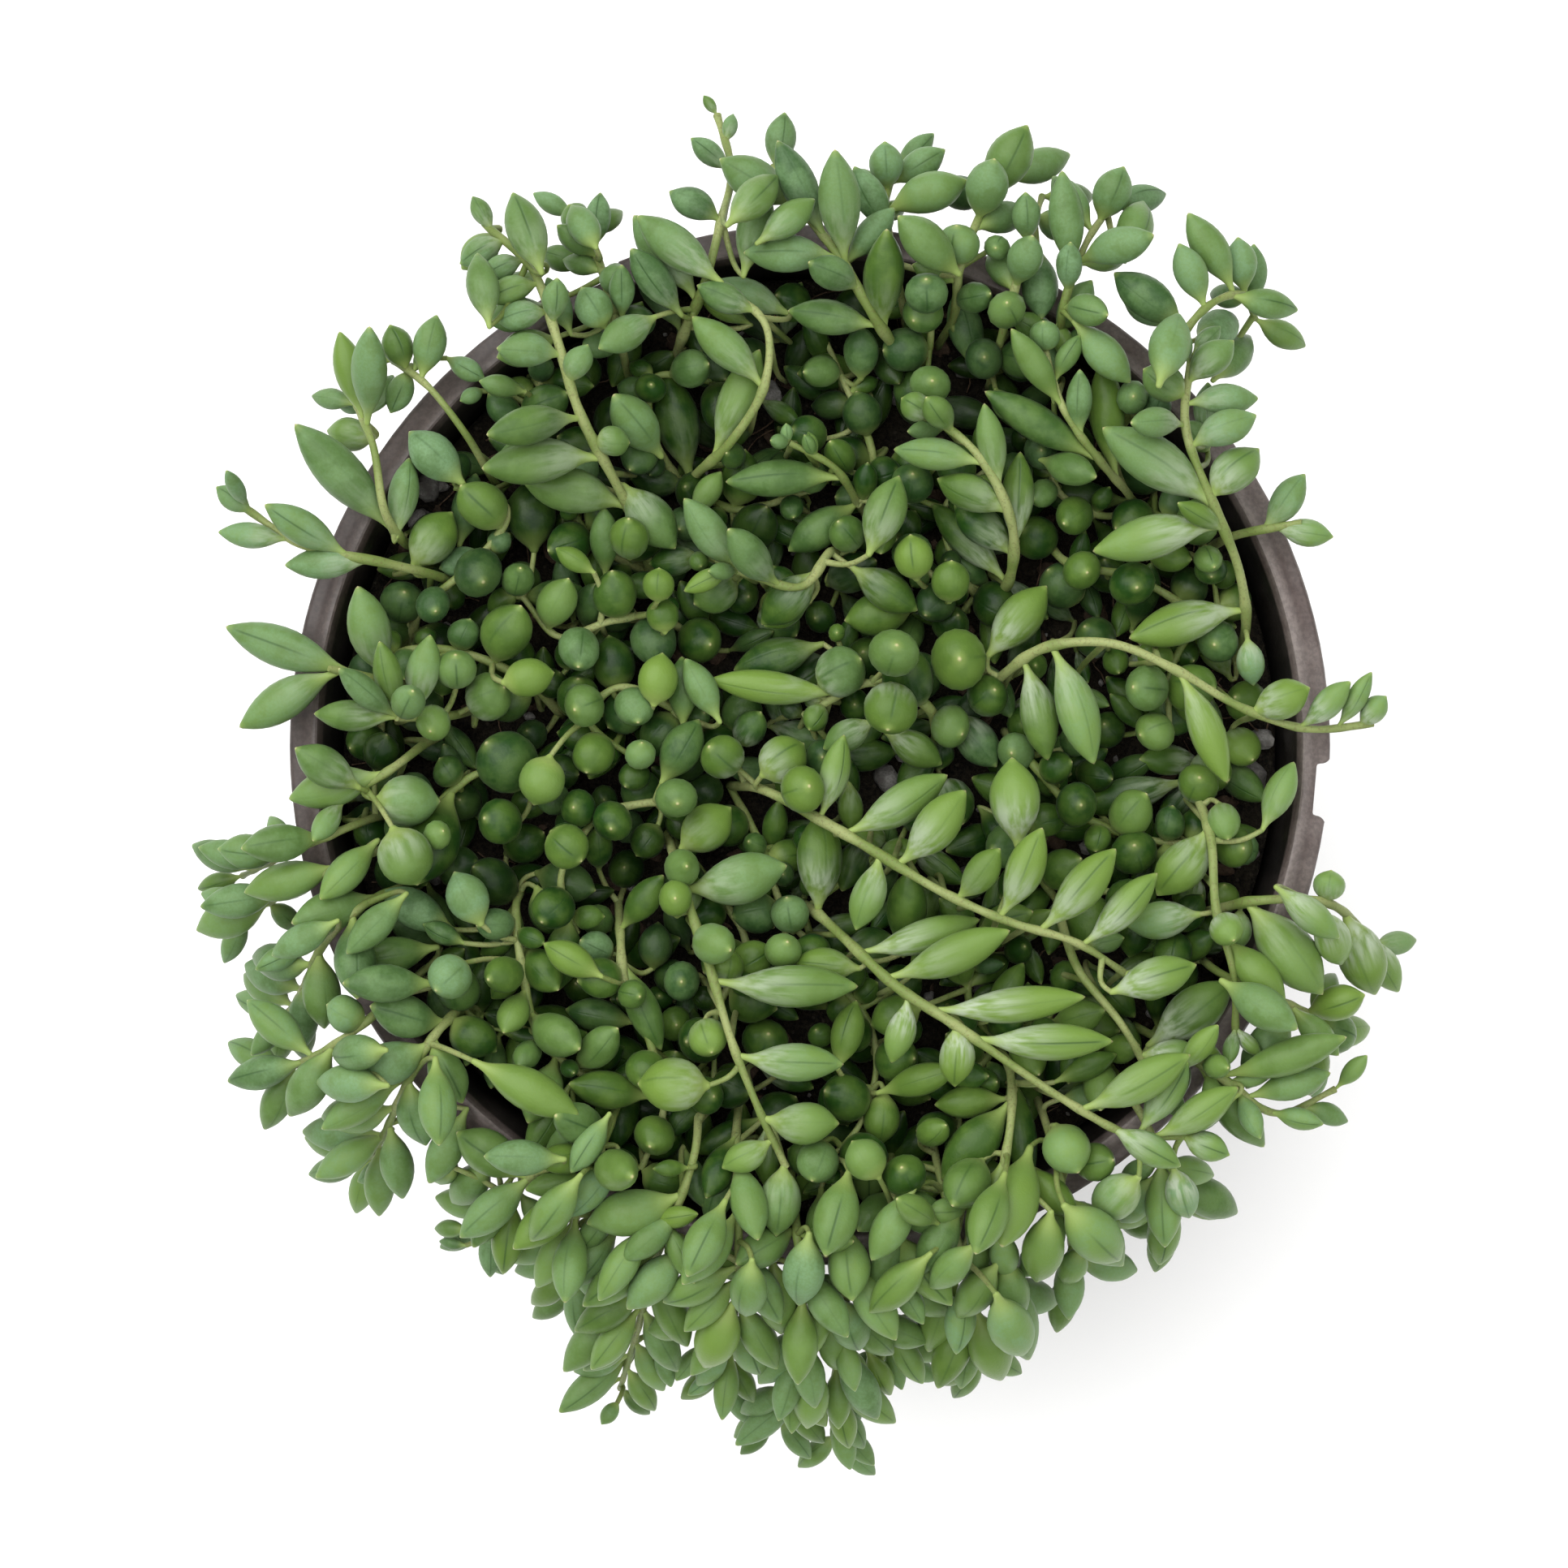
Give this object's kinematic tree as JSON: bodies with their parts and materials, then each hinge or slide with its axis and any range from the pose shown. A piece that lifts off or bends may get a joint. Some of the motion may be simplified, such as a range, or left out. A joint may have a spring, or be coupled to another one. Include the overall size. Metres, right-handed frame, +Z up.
{
  "type": "potted string of raindrops",
  "caption": "Trailing succulent with plump round and pointed leaves on thin stems, rooted in soil in a round plastic nursery pot.",
  "frame": {"origin": "centre of the pot's flat underside, where it stands", "axes": "+Z up along the pot's axis, +Y towards the top edge of the picture, +X towards its right edge, with the picture taken from straight above"},
  "size_m": [0.1795, 0.2059, 0.1353],
  "materials": {
    "pot_plastic": "satin taupe moulded plastic, nearly black brown on its inside",
    "soil": "moist dark brown potting mix of bark and coir with pale grey pumice grains",
    "leaf_green": "waxy succulent skin, mid green to blue green with a pale bloom, stems pale yellow green"
  },
  "bodies": {
    "root": {"pot": "pot_plastic", "soil": "soil", "stem_northwest_arch": "leaf_green", "stem_middle_curl": "leaf_green", "stem_centre_hook": "leaf_green", "stem_centre_right": "leaf_green", "stem_northeast_sprig": "leaf_green", "stem_east_runner": "leaf_green", "stem_long_east_runner": "leaf_green", "stem_long_southeast_runner": "leaf_green", "stem_southeast_fork": "leaf_green", "stem_long_south_runner": "leaf_green", "stem_middle_south_runner": "leaf_green", "stem_east_descent": "leaf_green", "stem_south_cascade": "leaf_green", "stem_north_crown": "leaf_green", "stem_north_sprig": "leaf_green", "stem_inner_curl": "leaf_green", "stem_west_sprig": "leaf_green", "stem_west_fan": "leaf_green", "stem_west_rosette": "leaf_green", "stem_left_middle": "leaf_green", "stem_far_west_leaf": "leaf_green", "stem_northwest_sprig": "leaf_green", "stem_centre_peas": "leaf_green", "stem_east_fringe_upper": "leaf_green", "stem_east_bud": "leaf_green", "stem_northeast_corner": "leaf_green", "stem_north_east_tall": "leaf_green", "stem_north_east_wide": "leaf_green", "stem_north_east_middle": "leaf_green", "stem_north_middle": "leaf_green", "stem_north_west_bud": "leaf_green", "stem_south_fringe_one": "leaf_green", "stem_south_fringe_two": "leaf_green", "stem_south_fringe_three": "leaf_green", "stem_south_fringe_four": "leaf_green", "stem_south_fringe_five": "leaf_green", "stem_south_fringe_six": "leaf_green", "stem_south_fringe_seven": "leaf_green", "stem_south_fringe_eight": "leaf_green", "stem_southeast_fringe": "leaf_green", "stem_east_fringe_middle": "leaf_green", "stem_east_fringe_lower": "leaf_green", "stem_southwest_fringe_one": "leaf_green", "stem_southwest_fringe_two": "leaf_green", "stem_southwest_fringe_three": "leaf_green", "stem_west_fringe_one": "leaf_green", "stem_west_fringe_two": "leaf_green", "stem_west_fringe_three": "leaf_green", "stem_west_carpet_upper": "leaf_green", "stem_west_carpet_middle": "leaf_green", "stem_west_carpet_lower": "leaf_green", "stem_middle_carpet_upper": "leaf_green", "stem_middle_carpet_centre": "leaf_green", "stem_middle_carpet_lower": "leaf_green", "stem_south_carpet": "leaf_green", "stem_southwest_carpet": "leaf_green", "stem_east_carpet": "leaf_green", "stem_lower_east_carpet": "leaf_green"}
  },
  "joints": []
}
